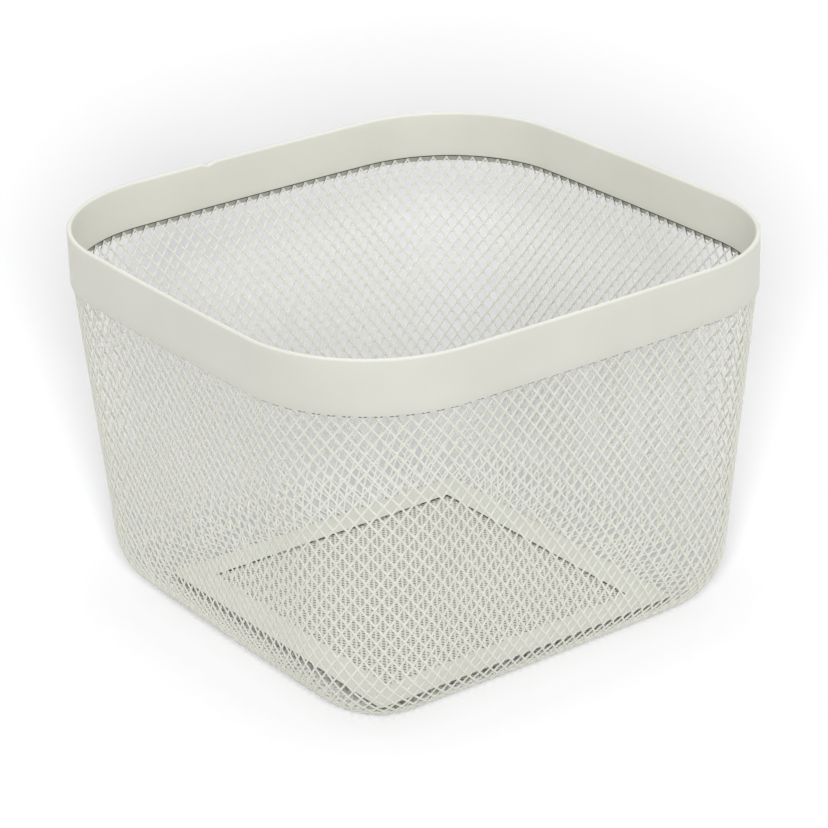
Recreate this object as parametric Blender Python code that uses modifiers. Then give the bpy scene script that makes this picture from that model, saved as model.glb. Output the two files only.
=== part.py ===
# Storage basket: expanded steel mesh walls and base, a folded steel rim channel
# and a flat steel frame over the edges of the base, all powder-coated.
# Metres, +Z up. The origin lies on the ground under the middle of the basket.

from math import acos, atan, cos, pi, radians, sin, tan

import bmesh
import bpy

# Overall sizes
BASKET_WIDTH = 0.257
BASKET_DEPTH = 0.250
BASKET_HEIGHT = 0.181
CORNER_RADIUS = 0.0645
SIDE_BOW = 0.0007

# Rim channel, a strip folded over the top edge of the mesh
RIM_OUTER_LEG = 0.0245
RIM_INNER_LEG = 0.0208
RIM_THICKNESS = 0.0022
RIM_SHEET = 0.0005
SEAM_PLACE = -0.025
SEAM_GAP = 0.0004
SEAM_CORNER_LENGTH = 0.0040
SEAM_CORNER_DROP = 0.0009

# Wall mesh, a tapered hoop whose lower edge is turned in under the base frame
MESH_THICKNESS = 0.0006
MESH_HEADROOM = 0.0014
WALL_RUN_IN = 0.0183
BOTTOM_RADIUS = 0.036
CORNER_TIGHTENING = 0.010
FOOT_WIDTH = 0.002
BASE_RISE = 0.0018
RISE_RUN = 0.0025
FLANGE_WIDTH = 0.0015
ROLL_OPEN_SHARE = 0.62

# Openwork of both meshes. Its diamonds have the real ones' form and are as open,
# but they are coarser, and the strands are wider to match
WALL_ROWS = 5
WALL_STRAND = 0.0034
PANEL_COLUMNS = 6
PANEL_ROWS = 4
PANEL_STRAND = 0.0040

# Base frame and base mesh
FRAME_STRIP = 0.0145
FRAME_THICKNESS = 0.0008
FRAME_COVER = 0.0005
FRAME_CORNER_RADIUS = 0.0010
PANEL_LAP = 0.009

# Gap kept between pieces that touch on the real basket
FIT_CLEARANCE = 0.0003

# How finely round shapes are cut
CORNER_STEPS = 8
SIDE_STEPS = 10
FOLD_STEPS = 4
BOTTOM_STEPS = 3
FRAME_CORNER_STEPS = 3
SMOOTH_ANGLE = radians(35)

HALF_WIDTH = BASKET_WIDTH / 2
HALF_DEPTH = BASKET_DEPTH / 2
BOW_ANGLE = 2 * atan(SIDE_BOW / (HALF_WIDTH - CORNER_RADIUS))


def clear_scene():
    for obj in list(bpy.data.objects):
        bpy.data.objects.remove(obj, do_unlink=True)


def make_material(name, colour, roughness, metallic):
    material = bpy.data.materials.new(name)
    material.use_nodes = True
    shader = material.node_tree.nodes["Principled BSDF"]
    shader.inputs["Base Color"].default_value = (*colour, 1.0)
    shader.inputs["Roughness"].default_value = roughness
    shader.inputs["Metallic"].default_value = metallic
    return material


def arc_points(centre_x, centre_y, radius, start, sweep, steps):
    """Points along an arc, without its last one."""
    angles = [start + sweep * step / steps for step in range(steps)]
    return [(centre_x + radius * cos(angle), centre_y + radius * sin(angle)) for angle in angles]


def rounded_outline(half_x, half_y, radius, start=0.0):
    """Plan of the basket at one level: four corner arcs that run smoothly into bowed sides.

    The points go counter-clockwise from a place on the back, which start gives along X."""
    lean = tan(BOW_ANGLE / 2)
    reach = radius * (cos(BOW_ANGLE) + sin(BOW_ANGLE) * lean)
    centre_x = ((half_x - reach) - (half_y - reach) * lean) / (1 - lean * lean)
    centre_y = ((half_y - reach) - (half_x - reach) * lean) / (1 - lean * lean)
    corner_signs = ((-1, 1), (-1, -1), (1, -1), (1, 1))
    points = []
    # The back comes twice, as its two stretches on either side of the start
    for turn in range(5):
        facing = pi / 2 + turn * pi / 2
        side_reach, corner_centre = ((half_y, centre_x), (half_x, centre_y))[turn % 2]
        side_radius = corner_centre / sin(BOW_ANGLE) + radius
        offset = side_reach - side_radius
        split = acos(start / side_radius) - pi / 2
        first = split if turn == 0 else -BOW_ANGLE
        last = split if turn == 4 else BOW_ANGLE
        steps = SIDE_STEPS // 2 if turn in (0, 4) else SIDE_STEPS
        points += arc_points(offset * cos(facing), offset * sin(facing), side_radius,
                             facing + first, last - first, steps)
        if turn < 4:
            sign_x, sign_y = corner_signs[turn]
            points += arc_points(sign_x * centre_x, sign_y * centre_y, radius,
                                 facing + BOW_ANGLE, pi / 2 - 2 * BOW_ANGLE, CORNER_STEPS)
    return points


def loft(bm, rings, closed):
    """Faces through rings of equal length. Gives back the rows of points."""
    rows = [[bm.verts.new(point) for point in ring] for ring in rings]
    for upper, lower in zip(rows, rows[1:]):
        count = len(upper)
        for here in range(count if closed else count - 1):
            there = (here + 1) % count
            bm.faces.new((upper[here], upper[there], lower[there], lower[here]))
    return rows


def cut_diamonds(bm, rows, closed, strand):
    """Turn the faces between these rows into strands round diamond openings."""
    crossings = set()
    halves = []
    for level, row in enumerate(rows):
        crossings.update(row[level % 2::2])
    for upper, lower in zip(rows, rows[1:]):
        count = len(upper)
        for here in range(count if closed else count - 1):
            there = (here + 1) % count
            face = bm.faces.get((upper[here], upper[there], lower[there], lower[here]))
            ends = [vert for vert in face.verts if vert in crossings]
            other, cut = bmesh.utils.face_split(face, *ends)
            halves += [face, other]
    outside = set(bm.faces) - set(halves)
    grid_edges = [edge for edge in bm.edges
                  if len(crossings.intersection(edge.verts)) == 1
                  and len(edge.link_faces) == 2 and not outside.intersection(edge.link_faces)]
    bmesh.ops.dissolve_edges(bm, edges=grid_edges, use_verts=False, use_face_split=False)
    openings = [face for face in bm.faces if face not in outside]
    bmesh.ops.inset_individual(bm, faces=openings, thickness=strand / 2, use_even_offset=True)
    bmesh.ops.delete(bm, geom=openings, context="FACES")


def make_sheet(name, bm, thickness, collection, material):
    """Object from an open surface, made a solid sheet on the side away from its normals."""
    mesh = bpy.data.meshes.new(name)
    bm.to_mesh(mesh)
    bm.free()
    mesh.shade_smooth()
    mesh.set_sharp_from_angle(angle=SMOOTH_ANGLE)
    mesh.materials.append(material)
    obj = bpy.data.objects.new(name, mesh)
    collection.objects.link(obj)
    wall = obj.modifiers.new("sheet thickness", "SOLIDIFY")
    wall.thickness = thickness
    wall.offset = -1
    wall.use_even_offset = True
    return obj


# Rim channel
def rim_section():
    """Inset and height of the channel's outside, from the outer leg over the fold to the inner leg."""
    fold_radius = RIM_THICKNESS / 2
    fold_height = BASKET_HEIGHT - fold_radius
    section = [(0.0, BASKET_HEIGHT - RIM_OUTER_LEG)]
    for step in range(FOLD_STEPS + 1):
        angle = pi * step / FOLD_STEPS
        section.append((fold_radius - fold_radius * cos(angle), fold_height + fold_radius * sin(angle)))
    section.append((RIM_THICKNESS, BASKET_HEIGHT - RIM_INNER_LEG))
    return section


def rim_ring(inset, height):
    """One level of the channel, open at the butt seam, whose top corners are eased."""
    half_x, half_y = HALF_WIDTH - inset, HALF_DEPTH - inset
    outline = rounded_outline(half_x, half_y, CORNER_RADIUS - inset, SEAM_PLACE)
    back = outline[0][1]
    fold_height = BASKET_HEIGHT - RIM_THICKNESS / 2
    above_fold = max(height - fold_height, 0) / (RIM_THICKNESS / 2)
    eased = height - SEAM_CORNER_DROP * above_fold
    half_gap = SEAM_GAP / 2
    full = half_gap + SEAM_CORNER_LENGTH
    ring = [(SEAM_PLACE - half_gap, back, eased), (SEAM_PLACE - full, back, height)]
    ring += [(x, y, height) for x, y in outline[1:]]
    ring += [(SEAM_PLACE + full, back, height), (SEAM_PLACE + half_gap, back, eased)]
    return ring


def make_rim_channel(collection, material):
    bm = bmesh.new()
    loft(bm, [rim_ring(inset, height) for inset, height in rim_section()], False)
    bmesh.ops.recalc_face_normals(bm, faces=bm.faces)
    return make_sheet("rim_channel", bm, RIM_SHEET, collection, material)


# Wall mesh
WALL_INSET = RIM_SHEET + FIT_CLEARANCE
LEAN_HEIGHT = BASKET_HEIGHT - RIM_INNER_LEG
WALL_SLOPE = WALL_RUN_IN / LEAN_HEIGHT
WALL_LEAN = atan(WALL_SLOPE)
FLOOR_INSET = WALL_INSET + WALL_SLOPE * (LEAN_HEIGHT - BOTTOM_RADIUS) + BOTTOM_RADIUS / cos(WALL_LEAN)
SLOPE_LENGTH = (LEAN_HEIGHT - BOTTOM_RADIUS * (1 - sin(WALL_LEAN))) / cos(WALL_LEAN)
ROLL_LENGTH = BOTTOM_RADIUS * (pi / 2 - WALL_LEAN)


def wall_outside(distance):
    """Inset and height of the wall's outside, a distance down it from the channel's inner foot."""
    if distance < SLOPE_LENGTH:
        return WALL_INSET + distance * sin(WALL_LEAN), LEAN_HEIGHT - distance * cos(WALL_LEAN)
    angle = WALL_LEAN + (distance - SLOPE_LENGTH) / BOTTOM_RADIUS
    return FLOOR_INSET - BOTTOM_RADIUS * cos(angle), BOTTOM_RADIUS * (1 - sin(angle))


def wall_profile():
    """Inset and height of the wall's outside, from its top edge in the channel to the turned-in edge."""
    open_length = SLOPE_LENGTH + ROLL_LENGTH * ROLL_OPEN_SHARE
    closed_length = ROLL_LENGTH - ROLL_LENGTH * ROLL_OPEN_SHARE
    half_rows = 2 * WALL_ROWS
    profile = [(WALL_INSET, BASKET_HEIGHT - RIM_THICKNESS / 2 - MESH_HEADROOM)]
    profile += [wall_outside(open_length * step / half_rows) for step in range(half_rows + 1)]
    for step in range(1, BOTTOM_STEPS + 1):
        profile.append(wall_outside(open_length + closed_length * step / BOTTOM_STEPS))
    profile.append((FLOOR_INSET + FOOT_WIDTH, 0.0))
    profile.append((FLOOR_INSET + FOOT_WIDTH + RISE_RUN, BASE_RISE))
    profile.append((FLOOR_INSET + FOOT_WIDTH + RISE_RUN + FLANGE_WIDTH, BASE_RISE))
    return profile


def wall_corner_radius(inset, height):
    """The corners tighten towards the floor until they are nearly square there."""
    tightening = CORNER_TIGHTENING * max(LEAN_HEIGHT - height, 0) / LEAN_HEIGHT
    floor_radius = CORNER_RADIUS - FLOOR_INSET - CORNER_TIGHTENING
    return max(CORNER_RADIUS - inset - tightening, floor_radius, FOOT_WIDTH)


def make_wall_mesh(collection, material):
    rings = []
    for inset, height in wall_profile():
        radius = wall_corner_radius(inset, height)
        outline = rounded_outline(HALF_WIDTH - inset, HALF_DEPTH - inset, radius)
        rings.append([(x, y, height) for x, y in outline])
    bm = bmesh.new()
    rows = loft(bm, rings, True)
    bmesh.ops.recalc_face_normals(bm, faces=bm.faces)
    cut_diamonds(bm, rows[1:2 * WALL_ROWS + 2], True, WALL_STRAND)
    return make_sheet("wall_mesh", bm, MESH_THICKNESS, collection, material)


# Base mesh and base frame
FLANGE_INSET = FLOOR_INSET + FOOT_WIDTH + RISE_RUN + FLANGE_WIDTH
FRAME_INNER_HALF = min(HALF_WIDTH, HALF_DEPTH) - FLANGE_INSET - FRAME_COVER
FRAME_OUTER_HALF = FRAME_INNER_HALF + FRAME_STRIP
PANEL_BOTTOM = BASE_RISE + MESH_THICKNESS + FIT_CLEARANCE
FRAME_BOTTOM = PANEL_BOTTOM + MESH_THICKNESS + FIT_CLEARANCE


def panel_places(cells):
    """Places across the panel: its edges, and the half diamonds inside the frame."""
    edge = FRAME_INNER_HALF + PANEL_LAP
    halves = [FRAME_INNER_HALF * (step / cells - 1) for step in range(2 * cells + 1)]
    return [-edge] + halves + [edge]


def make_base_mesh(collection, material):
    top = PANEL_BOTTOM + MESH_THICKNESS
    rings = [[(x, y, top) for x in panel_places(PANEL_COLUMNS)] for y in panel_places(PANEL_ROWS)]
    bm = bmesh.new()
    rows = loft(bm, rings, False)
    bm.normal_update()
    cut_diamonds(bm, [row[1:-1] for row in rows[1:-1]], False, PANEL_STRAND)
    return make_sheet("base_mesh", bm, MESH_THICKNESS, collection, material)


def add_square(curve, half, radius):
    spline = curve.splines.new("POLY")
    points = []
    for turn in range(4):
        start = turn * pi / 2
        centre_x = (half - radius) * (1 if turn in (0, 3) else -1)
        centre_y = (half - radius) * (1 if turn in (0, 1) else -1)
        for step in range(FRAME_CORNER_STEPS + 1):
            angle = start + pi / 2 * step / FRAME_CORNER_STEPS
            points.append((centre_x + radius * cos(angle), centre_y + radius * sin(angle)))
    spline.points.add(len(points) - 1)
    for point, (x, y) in zip(spline.points, points):
        point.co = (x, y, 0, 1)
    spline.use_cyclic_u = True


def make_base_frame(collection, material):
    curve = bpy.data.curves.new("base_frame", "CURVE")
    curve.dimensions = "2D"
    curve.fill_mode = "BOTH"
    curve.extrude = FRAME_THICKNESS / 2
    add_square(curve, FRAME_OUTER_HALF, FRAME_CORNER_RADIUS)
    add_square(curve, FRAME_INNER_HALF, FRAME_CORNER_RADIUS)
    curve.materials.append(material)
    obj = bpy.data.objects.new("base_frame", curve)
    obj.location = (0, 0, FRAME_BOTTOM + FRAME_THICKNESS / 2)
    collection.objects.link(obj)
    return obj


def build_basket():
    clear_scene()
    collection = bpy.data.collections.new("storage_basket")
    bpy.context.scene.collection.children.link(collection)
    origin = bpy.data.objects.new("basket_origin", None)
    collection.objects.link(origin)
    rim_coat = make_material("rim powder coat", (0.66, 0.66, 0.60), 0.42, 0.0)
    wall_coat = make_material("wall mesh powder coat", (0.62, 0.62, 0.56), 0.5, 0.0)
    base_coat = make_material("base mesh powder coat", (0.56, 0.56, 0.50), 0.5, 0.0)
    frame_coat = make_material("base frame powder coat", (0.64, 0.64, 0.58), 0.45, 0.0)
    pieces = (
        make_rim_channel(collection, rim_coat),
        make_wall_mesh(collection, wall_coat),
        make_base_mesh(collection, base_coat),
        make_base_frame(collection, frame_coat),
    )
    for piece in pieces:
        piece.parent = origin


build_basket()
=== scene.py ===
# Storage basket of painted expanded mesh, with a folded rim channel and a flat base frame
from math import asin, atan, cos, pi, radians, sin, sqrt, tan

import bmesh
import bpy
from mathutils import Matrix, Vector


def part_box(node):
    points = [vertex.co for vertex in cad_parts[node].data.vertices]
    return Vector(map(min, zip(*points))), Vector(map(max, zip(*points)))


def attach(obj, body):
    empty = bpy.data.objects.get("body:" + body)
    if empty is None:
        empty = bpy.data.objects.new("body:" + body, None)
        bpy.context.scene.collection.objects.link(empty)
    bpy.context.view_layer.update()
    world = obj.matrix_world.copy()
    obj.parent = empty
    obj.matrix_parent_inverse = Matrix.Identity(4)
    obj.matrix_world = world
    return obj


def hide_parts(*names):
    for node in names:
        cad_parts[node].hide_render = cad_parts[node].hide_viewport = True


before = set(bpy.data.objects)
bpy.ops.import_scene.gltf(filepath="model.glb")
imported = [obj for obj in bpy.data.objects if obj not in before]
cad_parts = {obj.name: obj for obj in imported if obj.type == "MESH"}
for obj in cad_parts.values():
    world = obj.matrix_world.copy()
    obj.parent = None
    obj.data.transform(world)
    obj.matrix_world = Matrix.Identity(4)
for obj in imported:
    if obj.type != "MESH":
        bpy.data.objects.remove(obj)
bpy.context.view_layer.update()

mm = 0.001
mergeDistance = 0.001 * mm

# The frame gives the overall sizes, and the plan is shared by the rim and the wall
rimLow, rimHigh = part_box("rim_channel")
clearance = 0.002 * mm            # keeps rounding inside the frame's box
halfWidth = rimHigh.x - clearance
halfDepth = rimHigh.y - clearance
topHeight = rimHigh.z - clearance

plan = {
    "cornerRadius": 64.5 * mm,
    "sideBow": 0.7 * mm,          # how far the middle of a side stands out
}
bowAngle = 2 * atan(plan["sideBow"] / (halfWidth - plan["cornerRadius"]))


# Arcs of the plan at one level, counter-clockwise from a place along the back:
# each is its centre, radius, first angle and sweep
def planArcs(halfX, halfY, radius, start=0.0):
    lean = tan(bowAngle / 2)
    centreX = ((halfX - radius) - (halfY - radius) * lean) / (1 - lean * lean)
    centreY = ((halfY - radius) - (halfX - radius) * lean) / (1 - lean * lean)
    corners = ((-1, 1), (-1, -1), (1, -1), (1, 1))
    arcs = []
    for quarter, (signX, signY) in enumerate(corners):
        facing = pi / 2 + quarter * pi / 2
        reach, across = ((halfY, centreX), (halfX, centreY))[quarter % 2]
        sideRadius = across / sin(bowAngle) + radius
        sideCentre = (reach - sideRadius) * Vector((cos(facing), sin(facing)))
        arcs.append((sideCentre, sideRadius, facing - bowAngle, 2 * bowAngle))
        cornerCentre = Vector((signX * centreX, signY * centreY))
        arcs.append((cornerCentre, radius, facing + bowAngle, pi / 2 - 2 * bowAngle))
    backCentre, backRadius, backStart, backSweep = arcs[0]
    turned = backSweep / 2 - asin(start / backRadius)
    arcs[0] = (backCentre, backRadius, backStart + turned, backSweep - turned)
    arcs.append((backCentre, backRadius, backStart, turned))
    return arcs


# The point that lies a share of the way round the plan
def pointRound(arcs, share):
    left = (share % 1) * sum(radius * sweep for centre, radius, start, sweep in arcs)
    for centre, radius, start, sweep in arcs:
        length = radius * sweep
        if left <= length or (centre, radius, start, sweep) == arcs[-1]:
            angle = start + left / radius
            return centre + radius * Vector((cos(angle), sin(angle)))
        left -= length


# Materials: a wrapped socket, so that shader maths is written as sums
class Wire:
    def __init__(self, finish, socket):
        self.finish = finish
        self.socket = socket

    def join(self, operation, first, second):
        return self.finish.node("ShaderNodeMath", {"operation": operation}, {0: first, 1: second})

    def __add__(self, other):
        return self.join("ADD", self, other)

    def __radd__(self, other):
        return self.join("ADD", other, self)

    def __mul__(self, other):
        return self.join("MULTIPLY", self, other)

    def __rmul__(self, other):
        return self.join("MULTIPLY", other, self)


# The nodes of a material, a lamp or the sky, and the shader among them that they feed
class Finish:
    def __init__(self, owner, shader="Principled BSDF"):
        owner.use_nodes = True
        self.tree = owner.node_tree
        self.shader = self.tree.nodes[shader]

    # Any node: its type, its settings, the values or wires of its sockets, and the output wanted
    def node(self, kind, settings, sockets, output=0):
        made = self.tree.nodes.new(kind)
        for setting, value in settings.items():
            setattr(made, setting, value)
        for place, value in sockets.items():
            self.feed(made.inputs[place], value)
        return Wire(self, made.outputs[output])

    def feed(self, socket, value):
        if isinstance(value, Wire):
            self.tree.links.new(value.socket, socket)
        elif isinstance(value, tuple) and len(value) == 3 and len(socket.default_value) == 4:
            socket.default_value = (*value, 1)
        else:
            socket.default_value = value

    def coat(self, place, value):
        self.feed(self.shader.inputs[place], value)

    def where(self):
        return self.node("ShaderNodeTexCoord", {}, {}, "Object")

    def height(self):
        return self.node("ShaderNodeSeparateXYZ", {}, {0: self.where()}, "Z")

    # Above nought where a face looks away from the middle of the basket, below it where it looks in
    def outwardness(self):
        normal = self.node("ShaderNodeNewGeometry", {}, {}, "Normal")
        sockets = {0: normal, 1: self.where()}
        return self.node("ShaderNodeVectorMath", {"operation": "DOT_PRODUCT"}, sockets, "Value")

    def noise(self, size, detail=2.0):
        sockets = {"Vector": self.where(), "Scale": 1 / size, "Detail": detail}
        return self.node("ShaderNodeTexNoise", {}, sockets, "Fac")

    # From low to high, as a value passes over a span
    def between(self, low, high, value, span):
        sockets = {"Value": value, "From Min": span[0], "From Max": span[1],
                   "To Min": low, "To Max": high}
        return self.node("ShaderNodeMapRange", {}, sockets, "Result")

    def rising(self, value, start, end):
        return self.between(0.0, 1.0, value, (start, end))

    def falling(self, value, start, end):
        return self.between(1.0, 0.0, value, (start, end))

    # The Mix node has its two colours at sockets 6 and 7, and its mixed colour at output 2
    def blend(self, share, first, second):
        sockets = {"Factor": share, 6: first, 7: second}
        return self.node("ShaderNodeMix", {"data_type": "RGBA"}, sockets, 2)


paint = {
    "colour": (0.70, 0.70, 0.635),     # pale warm grey powder coat
    "shade": (0.655, 0.655, 0.585),    # where the coat lies thinner
    "paintedShadow": (0.015, 0.015, 0.013),     # near black, painted into gaps and recesses as shadow
    "roughness": (0.38, 0.52),
    "specular": 0.45,
    "cloudSize": 38 * mm,
    "cloudDetail": 3.0,
    "cloudInColour": 0.7,              # share of the clouds in the pattern of the colour
    "colourSpan": (0.32, 0.68),        # values of that pattern that give the shade and the colour
    "cloudInSheen": 0.5,
    "sheenSpan": (0.3, 0.7),
    "grainSize": 0.55 * mm,
    "grainDepth": 0.010 * mm,
    "grainStrength": 0.5,
}


# Powder coat: faint clouds and fine grain in the colour, an orange-peel bump and an uneven sheen; a
# tone above or below one paints light or shade into the colour, and a mask blends in painted shadow
def powderCoat(name, paintedLightTone=1.0, shadeMask=None):
    material = bpy.data.materials.new(name)
    finish = Finish(material)
    cloud = finish.noise(paint["cloudSize"], detail=paint["cloudDetail"])
    grain = finish.noise(paint["grainSize"])
    pattern = cloud * paint["cloudInColour"] + grain * (1 - paint["cloudInColour"])
    light = tuple(paintedLightTone * part for part in paint["colour"])
    dark = tuple(paintedLightTone * part for part in paint["shade"])
    colour = finish.blend(finish.rising(pattern, *paint["colourSpan"]), dark, light)
    if shadeMask:
        colour = finish.blend(shadeMask(finish), colour, paint["paintedShadow"])
    finish.coat("Base Color", colour)
    sheen = cloud * paint["cloudInSheen"] + grain * (1 - paint["cloudInSheen"])
    finish.coat("Roughness", finish.between(*paint["roughness"], sheen, paint["sheenSpan"]))
    finish.coat("Specular IOR Level", paint["specular"])
    bump = {"Height": grain, "Strength": paint["grainStrength"], "Distance": paint["grainDepth"]}
    finish.coat("Normal", finish.node("ShaderNodeBump", {}, bump, "Normal"))
    return material


def makePiece(name, bm, material, node):
    mesh = bpy.data.meshes.new(name)
    bm.to_mesh(mesh)
    bm.free()
    mesh.shade_smooth()
    mesh.materials.append(material)
    piece = bpy.data.objects.new(name, mesh)
    bpy.context.scene.collection.objects.link(piece)
    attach(piece, "root")
    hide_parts(node)
    print("made", name, len(mesh.polygons), "faces")
    return piece


sheetEdge = {"segments": 2, "roundFrom": radians(50)}


# Sheet metal from a modelled face: its thickness lies behind the face, and its edges are rounded
def makeSheet(piece, thickness, edgeRadius, flat=False):
    sheet = piece.modifiers.new("sheet", "SOLIDIFY")
    sheet.thickness = thickness
    sheet.offset = -1
    sheet.use_even_offset = True
    edges = piece.modifiers.new("rounded edges", "BEVEL")
    edges.width = edgeRadius
    edges.segments = sheetEdge["segments"]
    edges.limit_method = "ANGLE"
    edges.angle_limit = sheetEdge["roundFrom"]
    edges.harden_normals = flat


# Rim channel: a strip folded over the top edge of the mesh, with its ends joined at the back
rim = {
    "innerLeg": 21.8 * mm,
    "thickness": 2.2 * mm,
    "sheet": 0.5 * mm,
    "foldSteps": 12,
    "legSteps": 5,
    "sideSteps": 24,
    "cornerSteps": 30,
    "fineSteps": 18,
    "fineLength": 9 * mm,
    "seamPlace": -25 * mm,       # along the back
    "notchDepth": 1.3 * mm,
    "notchHeight": 5.0 * mm,
    "notchLeft": 3.9 * mm,       # how far each rounded end of the strip reaches, seen from inside
    "notchRight": 4.6 * mm,
    "notchCurve": 1.15,
    "edgeRadius": 0.14 * mm,
    "footShadowHeight": 0.45 * mm,       # how far above the cut edge of the inner leg the painted shadow line reaches
    "footShadowFade": (0.01, 0.005),    # above and below that place, in shares of the leg
    "outerLegShade": 0.32,          # how dark the painted shade is on the inside of the outer leg
    "footFade": 0.1 * mm,
    "facingFade": 10 * mm,
}


# One section at the middle of the back: up the outer leg, over the fold and down the inner leg
def rimSection(bm):
    foldRadius = rim["thickness"] / 2
    foldHeight = topHeight - foldRadius
    downInside = bm.verts.layers.float.new("down inside")
    outerFoot = bm.verts.new((0, halfDepth, rimLow.z))
    outerTop = bm.verts.new((0, halfDepth, foldHeight))
    bm.edges.new((outerFoot, outerTop))
    foldCentre = (0, halfDepth - foldRadius, foldHeight)
    fold = bmesh.ops.spin(bm, geom=[outerTop], cent=foldCentre, axis=(1, 0, 0), dvec=(0, 0, 0),
                          angle=pi, steps=rim["foldSteps"], use_merge=False, use_duplicate=False)
    innerTop = [part for part in fold["geom_last"] if isinstance(part, bmesh.types.BMVert)][0]
    innerFoot = bm.verts.new((0, halfDepth - rim["thickness"], topHeight - rim["innerLeg"]))
    innerFoot[downInside] = 1.0
    bm.edges.new((innerTop, innerFoot))
    legs = [edge for edge in bm.edges if edge.calc_length() > rim["thickness"]]
    bmesh.ops.subdivide_edges(bm, edges=legs, cuts=rim["legSteps"] - 1)
    return bm.verts[:] + bm.edges[:]


# The ends of the strip are rounded over at the seam, which leaves a small notch in the fold
def easeSeam(bm):
    notchFoot = topHeight - rim["notchHeight"]
    for vert in bm.verts:
        along = vert.co.x - rim["seamPlace"]
        reach = rim["notchRight"] if along > 0 else rim["notchLeft"]
        near = max(0, 1 - abs(along) / reach)
        above = max(0, (vert.co.z - notchFoot) / rim["notchHeight"])
        if vert.co.y > 0:
            vert.co.z -= rim["notchDepth"] * above * near ** rim["notchCurve"]


# Painted shadow: a dark line along the cut edge of the inner leg and a hair's breadth above it,
# and a partial darkening of the inside of the outer leg below it, where the channel lies in shade
def paintedShadowAtInnerFoot(finish):
    down = finish.node("ShaderNodeAttribute", {"attribute_name": "down inside"}, {}, "Fac")
    edge = 1 - rim["footShadowHeight"] / (rim["innerLeg"] - rim["thickness"] / 2)
    above, under = rim["footShadowFade"]
    footShadow = finish.rising(down, edge - above, edge + under)
    foot = topHeight - rim["innerLeg"]
    below = finish.falling(finish.height(), foot - rim["footFade"], foot)
    inwardly = finish.falling(finish.outwardness(), -rim["facingFade"], 0.0)
    return footShadow + below * inwardly * rim["outerLegShade"]


def sweepStrip(bm, strip, centre, angle, steps):
    swept = bmesh.ops.spin(bm, geom=strip, cent=centre.to_3d(), axis=(0, 0, 1), dvec=(0, 0, 0),
                           angle=angle, steps=steps, use_merge=False, use_duplicate=False)
    return swept["geom_last"]


# The stretch beside the seam is stepped finely near the notch and widely beyond it
def sweepFromSeam(bm, strip, centre, angle, radius, leaving):
    fine = rim["fineLength"] / radius
    sweeps = [(fine, rim["fineSteps"]), (angle - fine, rim["sideSteps"] // 2)]
    if not leaving:
        sweeps.reverse()
    for sweep, steps in sweeps:
        strip = sweepStrip(bm, strip, centre, sweep, steps)
    return strip


def makeRim(material):
    bm = bmesh.new()
    strip = rimSection(bm)
    arcs = planArcs(halfWidth, halfDepth, plan["cornerRadius"], rim["seamPlace"])
    seamCentre, seamAngle = arcs[0][0], arcs[0][2]
    toSeam = Matrix.Rotation(seamAngle - pi / 2, 4, "Z")
    fromCentre = Matrix.Translation(-seamCentre.to_3d())
    bmesh.ops.transform(bm, verts=bm.verts, matrix=toSeam, space=fromCentre)
    for number, (centre, radius, start, sweep) in enumerate(arcs):
        if number in (0, len(arcs) - 1):
            strip = sweepFromSeam(bm, strip, centre, sweep, radius, number == 0)
        else:
            steps = rim["cornerSteps"] if number % 2 else rim["sideSteps"]
            strip = sweepStrip(bm, strip, centre, sweep, steps)
    bmesh.ops.remove_doubles(bm, verts=bm.verts, dist=mergeDistance)
    easeSeam(bm)
    bmesh.ops.recalc_face_normals(bm, faces=bm.faces)
    piece = makePiece("folded_rim", bm, material, "rim_channel")
    makeSheet(piece, rim["sheet"], rim["edgeRadius"])


# Wall: expanded mesh on a tapered hoop whose lower edge turns in under the base frame
wall = {
    "inset": 0.7 * mm,            # from the rim's outside
    "thickness": 0.8 * mm,
    "topEdge": topHeight - 2.5 * mm,
    "leanHeight": topHeight - rim["innerLeg"],    # below this it leans in
    "runIn": 18.3 * mm,           # how far it would lean in by the floor
    "bottomRadius": 36 * mm,
    "cornerTightening": 10 * mm,  # how much less its corners' radius is by the floor
    "foot": 2.0 * mm,             # flat on the floor
    "riseRun": 2.5 * mm,          # up to the base mesh
    "rise": 1.6 * mm,
    "flange": 1.5 * mm,
    "lineStart": 1.1 * mm,        # below the rim, where the painted shadow line begins
    "lineFull": 0.7 * mm,
    "underRimShadowDarkness": 0.85,
    "facingFade": 10 * mm,
}
wallSlope = wall["runIn"] / wall["leanHeight"]
wallLean = atan(wallSlope)
rollTop = wall["bottomRadius"] * (1 - sin(wallLean))
floorInset = (wall["inset"] + wallSlope * (wall["leanHeight"] - wall["bottomRadius"])
              + wall["bottomRadius"] / cos(wallLean))

# Lengths of the wall's stretches, from its top edge down to its turned-in one
stretches = {
    "upright": wall["topEdge"] - wall["leanHeight"],
    "sloped": (wall["leanHeight"] - rollTop) / cos(wallLean),
    "roll": wall["bottomRadius"] * (pi / 2 - wallLean),
    "foot": wall["foot"],
    "rise": sqrt(wall["riseRun"] ** 2 + wall["rise"] ** 2),
    "flange": wall["flange"],
}

lattice = {
    "columns": 140,
    "rows": 25,
    "evenRows": 11,               # rows down to the depth given next
    "evenDepth": 88.75 * mm,
    "turn": -0.12,                # in columns, from the middle of the back
    "skew": 0.02,                 # in columns for each row down
    "strand": 0.80 * mm,
    "edgeShare": 0.6,             # thickness at a strand's sides, as a share of its middle's
}


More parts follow.
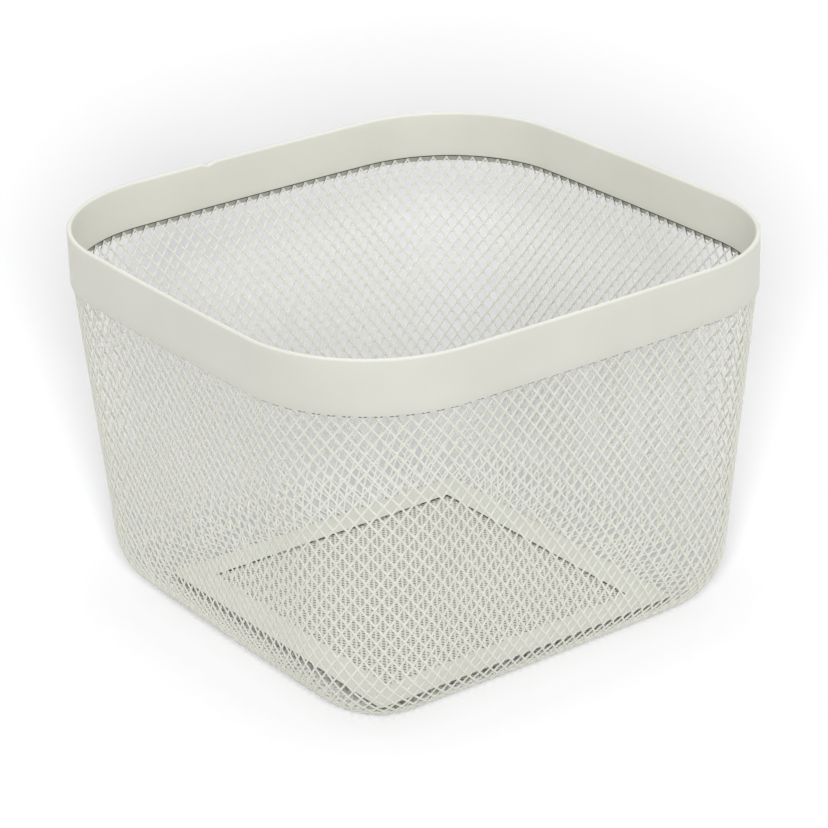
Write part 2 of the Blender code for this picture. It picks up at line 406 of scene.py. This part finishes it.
# Inset, height and outward slope of the mesh at a distance down from its top edge
def wallProfile(depth):
    if depth < stretches["upright"]:
        return wall["inset"], wall["topEdge"] - depth, 0.0
    depth -= stretches["upright"]
    if depth < stretches["sloped"]:
        inset = wall["inset"] + depth * sin(wallLean)
        return inset, wall["leanHeight"] - depth * cos(wallLean), wallLean
    depth -= stretches["sloped"]
    if depth < stretches["roll"]:
        angle = wallLean + depth / wall["bottomRadius"]
        inset = floorInset - wall["bottomRadius"] * cos(angle)
        return inset, wall["bottomRadius"] * (1 - sin(angle)), angle
    depth -= stretches["roll"]
    if depth < stretches["foot"]:
        return floorInset + depth, 0.0, pi / 2
    depth -= stretches["foot"]
    riseInset = floorInset + wall["foot"]
    if depth < stretches["rise"]:
        along = depth / stretches["rise"]
        angle = pi / 2 + atan(wall["rise"] / wall["riseRun"])
        return riseInset + along * wall["riseRun"], along * wall["rise"], angle
    depth -= stretches["rise"]
    return riseInset + wall["riseRun"] + depth, wall["rise"], pi / 2


# Middle of the mesh's thickness at a column and row, which may lie between two
def wallPoint(column, row):
    evenPitch = lattice["evenDepth"] / lattice["evenRows"]
    lowerDepth = sum(stretches.values()) - lattice["evenDepth"]
    lowerPitch = lowerDepth / (lattice["rows"] - lattice["evenRows"])
    if row <= lattice["evenRows"]:
        depth = row * evenPitch
    else:
        depth = lattice["evenDepth"] + (row - lattice["evenRows"]) * lowerPitch
    inset, height, angle = wallProfile(depth)
    leaning = max(wall["leanHeight"] - height, 0) / wall["leanHeight"]
    tightening = wall["cornerTightening"] * leaning
    floorRadius = plan["cornerRadius"] - floorInset - wall["cornerTightening"]
    radius = max(plan["cornerRadius"] - inset - tightening, floorRadius)
    inward = wall["thickness"] / 2 * cos(angle)
    upward = wall["thickness"] / 2 * sin(angle)
    arcs = planArcs(halfWidth - inset - inward, halfDepth - inset - inward, radius - inward)
    turned = column + lattice["turn"] + lattice["skew"] * row
    place = pointRound(arcs, turned / lattice["columns"])
    return Vector((place.x, place.y, height + upward))


# Expanded mesh from a grid: each face is poked, the grid's own edges go, and what is left
# is diamonds, whose borders become the strands
def expandedMesh(columns, rows, strand, place):
    bm = bmesh.new()
    bmesh.ops.create_grid(bm, x_segments=columns, y_segments=rows, size=0.5)
    centres = set(bmesh.ops.poke(bm, faces=bm.faces)["verts"])
    for vert in bm.verts:
        vert.co = place((vert.co.x + 0.5) * columns, (0.5 - vert.co.y) * rows)
    bmesh.ops.remove_doubles(bm, verts=bm.verts, dist=mergeDistance)
    gridEdges = [edge for edge in bm.edges
                 if not centres.intersection(edge.verts) and len(edge.link_faces) == 2]
    bmesh.ops.dissolve_edges(bm, edges=gridEdges, use_verts=False, use_face_split=False)
    bmesh.ops.recalc_face_normals(bm, faces=bm.faces)
    cells = bm.faces[:]
    bmesh.ops.inset_individual(bm, faces=cells, thickness=strand / 2, use_even_offset=True)
    weights = bm.verts.layers.deform.verify()
    for vert in bm.verts:
        vert[weights][0] = 1.0
    for cell in cells:
        for vert in cell.verts:
            vert[weights][0] = lattice["edgeShare"]
    bmesh.ops.delete(bm, geom=cells, context="FACES")
    return bm


def thickenStrands(piece, thickness):
    piece.vertex_groups.new(name="strand middle")
    body = piece.modifiers.new("strand thickness", "SOLIDIFY")
    body.thickness = thickness
    body.offset = 0
    body.vertex_group = "strand middle"


# Painted shadow: a dark line on the outside of the strands close under the rim, which the rim's
# edge shades
def paintedShadowUnderRim(finish):
    start = rimLow.z - wall["lineStart"]
    line = finish.rising(finish.height(), start, rimLow.z - wall["lineFull"])
    outwardly = finish.rising(finish.outwardness(), 0.0, wall["facingFade"])
    return line * outwardly * wall["underRimShadowDarkness"]


def makeWall(material):
    bm = expandedMesh(lattice["columns"], lattice["rows"], lattice["strand"], wallPoint)
    piece = makePiece("expanded_wall", bm, material, "wall_mesh")
    thickenStrands(piece, wall["thickness"])


# Base mesh: a flat square of narrower diamonds under the frame
base = {"columns": 57, "rows": 40, "strand": 0.95 * mm}
panelLow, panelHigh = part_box("base_mesh")


def basePoint(column, row):
    across = (panelHigh.x - panelLow.x) * column / base["columns"]
    back = (panelHigh.y - panelLow.y) * row / base["rows"]
    level = (panelLow.z + panelHigh.z) / 2
    return Vector((panelLow.x + across, panelHigh.y - back, level))


def makeBase(material):
    bm = expandedMesh(base["columns"], base["rows"], base["strand"], basePoint)
    piece = makePiece("expanded_base", bm, material, "base_mesh")
    thickenStrands(piece, panelHigh.z - panelLow.z)


# Base frame: a flat square ring of steel strip over the edges of both meshes
band = {
    "strip": 14.5 * mm,
    "cornerRadius": 1.0 * mm,
    "cornerSteps": 4,
    "edgeRadius": 0.12 * mm,
    "sideShadowStart": 0.1 * mm,        # below the upper face, where the painted shadow begins
    "sideShadowEnd": 0.2 * mm,
    "facingSpan": (20 * mm, 60 * mm),
    "outerShadowShare": 0.6,            # how dark the painted shadow is on the outer sides
    "shadowDashSize": 2.6 * mm,         # of the patches of painted shadow along the inner sides
    "shadowDashGap": 0.3,               # how dark the painted shadow is between them
    "shadowDashSpan": (0.43, 0.51),
}
bandLow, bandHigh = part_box("base_frame")


# Painted shadow on the sides of the frame, below their upper edge: part dark on the outer ones, in
# patchy dashes on the inner ones
def paintedShadowOnBandSides(finish):
    shadowTop = bandHigh.z - band["sideShadowEnd"]
    below = finish.falling(finish.height(), shadowTop, bandHigh.z - band["sideShadowStart"])
    slight, full = band["facingSpan"]
    outer = finish.rising(finish.outwardness(), slight, full)
    inner = finish.falling(finish.outwardness(), -full, -slight)
    patches = finish.noise(band["shadowDashSize"])
    dashes = finish.between(band["shadowDashGap"], 1.0, patches, band["shadowDashSpan"])
    return below * (outer * band["outerShadowShare"] + inner * dashes)


# The ring is inset from a square, and loses its diagonals so that its corners can be rounded
def makeBand(material):
    bm = bmesh.new()
    bmesh.ops.create_grid(bm, x_segments=2, y_segments=2, size=bandHigh.x)
    plate = bm.faces[:]
    bmesh.ops.inset_region(bm, faces=plate, thickness=band["strip"], use_boundary=True,
                           use_even_offset=True)
    bmesh.ops.delete(bm, geom=plate, context="FACES")
    straightAcross = 1.01 * band["strip"]
    diagonals = [edge for edge in bm.edges
                 if len(edge.link_faces) == 2 and edge.calc_length() > straightAcross]
    bmesh.ops.dissolve_edges(bm, edges=diagonals, use_verts=False, use_face_split=False)
    corners = [vert for vert in bm.verts if len(vert.link_edges) == 2]
    bmesh.ops.bevel(bm, geom=corners, offset=band["cornerRadius"], affect="VERTICES",
                    segments=band["cornerSteps"], profile=0.5, material=-1)
    bmesh.ops.translate(bm, verts=bm.verts, vec=(0, 0, bandHigh.z))
    piece = makePiece("flat_base_frame", bm, material, "base_frame")
    makeSheet(piece, bandHigh.z - bandLow.z, band["edgeRadius"], flat=True)


# One powder coat, in copies painted lighter for the wall and darker for the base mesh and frame:
# painted light and shade; the masks paint in shadows
rimCoat = powderCoat("rim powder coat", shadeMask=paintedShadowAtInnerFoot)
wallCoat = powderCoat("wall mesh powder coat", paintedLightTone=1.12, shadeMask=paintedShadowUnderRim)
baseCoat = powderCoat("base mesh powder coat", paintedLightTone=0.98)
bandCoat = powderCoat("base frame powder coat", paintedLightTone=0.88, shadeMask=paintedShadowOnBandSides)
makeRim(rimCoat)
makeWall(wallCoat)
makeBase(baseCoat)
makeBand(bandCoat)

# Camera at the photograph's angle, with the picture's middle on the aim point
view = {
    "azimuth": radians(-36.18),
    "elevation": radians(24.21),
    "roll": radians(-1.33),
    "distance": 1399.33 * mm,
    "aim": Vector((-0.66 * mm, 0.17 * mm, 90 * mm)),
    "lens": 135.94,
    "sensor": 36,
}


def outwards(azimuth, elevation):
    return Vector((sin(azimuth) * cos(elevation), -cos(azimuth) * cos(elevation), sin(elevation)))


def makeCamera():
    lens = bpy.data.cameras.new("camera")
    lens.lens = view["lens"]
    lens.sensor_width = view["sensor"]
    camera = bpy.data.objects.new("camera", lens)
    bpy.context.scene.collection.objects.link(camera)
    back = outwards(view["azimuth"], view["elevation"])
    level = Vector((cos(view["azimuth"]), sin(view["azimuth"]), 0))
    upright = back.cross(level)
    side = level * cos(view["roll"]) + upright * sin(view["roll"])
    up = upright * cos(view["roll"]) - level * sin(view["roll"])
    turn = Matrix((side, up, back)).transposed().to_4x4()
    camera.matrix_world = Matrix.Translation(view["aim"] + back * view["distance"]) @ turn
    bpy.context.scene.camera = camera


# Studio, in metres: a pale floor, an even sky and soft boxes. One lamp lights the floor alone, from
# beside the camera, so that the basket's shadow falls where its mesh shows it
studio = {
    "sky": 0.92,
    "floorSeen": (0.42, 0.42, 0.423),      # what the camera and gloss see of the floor
    "floorLit": (0.28, 0.28, 0.282),       # what the floor throws back on the basket
    "floorSize": 24.0,
    "lampDistance": 12.0,
    "lamps": (
        {"name": "top box", "azimuth": -36, "elevation": 88, "size": 4.8, "level": 0.22},
        {"name": "front box", "azimuth": -28, "elevation": 24, "size": 3.2, "level": 0.29},
    ),
    "floorLamp": {"name": "floor lamp", "azimuth": -36.2, "elevation": 23.0, "size": 0.36,
                  "level": 2.82},
    "floorLampDistance": 1.4,
}


def makeFloor():
    bm = bmesh.new()
    bmesh.ops.create_grid(bm, x_segments=1, y_segments=1, size=studio["floorSize"] / 2)
    mesh = bpy.data.meshes.new("floor")
    bm.to_mesh(mesh)
    bm.free()
    floor = bpy.data.objects.new("floor", mesh)
    bpy.context.scene.collection.objects.link(floor)
    paper = bpy.data.materials.new("floor paper")
    finish = Finish(paper)
    toCamera, inGloss, throughGlass = [
        finish.node("ShaderNodeLightPath", {}, {}, "Is " + ray + " Ray")
        for ray in ("Camera", "Glossy", "Transmission")]
    seen = toCamera + inGloss + throughGlass
    finish.coat("Base Color", finish.blend(seen, studio["floorLit"], studio["floorSeen"]))
    finish.coat("Roughness", 1.0)
    finish.coat("Specular IOR Level", 0.0)
    mesh.materials.append(paper)
    return floor


# A lamp's level is the brightness that it adds to a white card that faces it
def makeLamp(name, azimuth, elevation, size, level, distance=studio["lampDistance"]):
    light = bpy.data.lights.new(name, "AREA")
    light.shape = "DISK"
    light.size = size
    light.energy = level * (pi * distance) ** 2
    lamp = bpy.data.objects.new(name, light)
    bpy.context.scene.collection.objects.link(lamp)
    back = outwards(radians(azimuth), radians(elevation))
    facing = back.to_track_quat("Z", "Y").to_matrix().to_4x4()
    lamp.matrix_world = Matrix.Translation(view["aim"] + back * distance) @ facing
    return lamp


# This one lights the floor alone, and evenly far and near: its strength rises with the cube
# of the distance, which makes up for the spread and the slant of its light
def makeFloorLamp(floor):
    distance = studio["floorLampDistance"]
    lamp = makeLamp(**studio["floorLamp"], distance=distance)
    glow = Finish(lamp.data, "Emission")
    length = glow.node("ShaderNodeLightPath", {}, {}, "Ray Length") * (1 / distance)
    glow.coat("Strength", length * length * length)
    lit = bpy.data.collections.new("lit by the floor lamp")
    lit.objects.link(floor)
    lamp.light_linking.receiver_collection = lit


def makeSky():
    world = bpy.data.worlds.new("studio")
    sky = Finish(world, "Background")
    sky.coat("Color", (1, 1, 1))
    sky.coat("Strength", studio["sky"])
    bpy.context.scene.world = world


makeCamera()
print("placed the camera")
floor = makeFloor()
makeSky()
for lamp in studio["lamps"]:
    makeLamp(**lamp)
makeFloorLamp(floor)
print("lit the studio")
bpy.context.scene.view_settings.view_transform = "Standard"

bpy.context.view_layer.update()
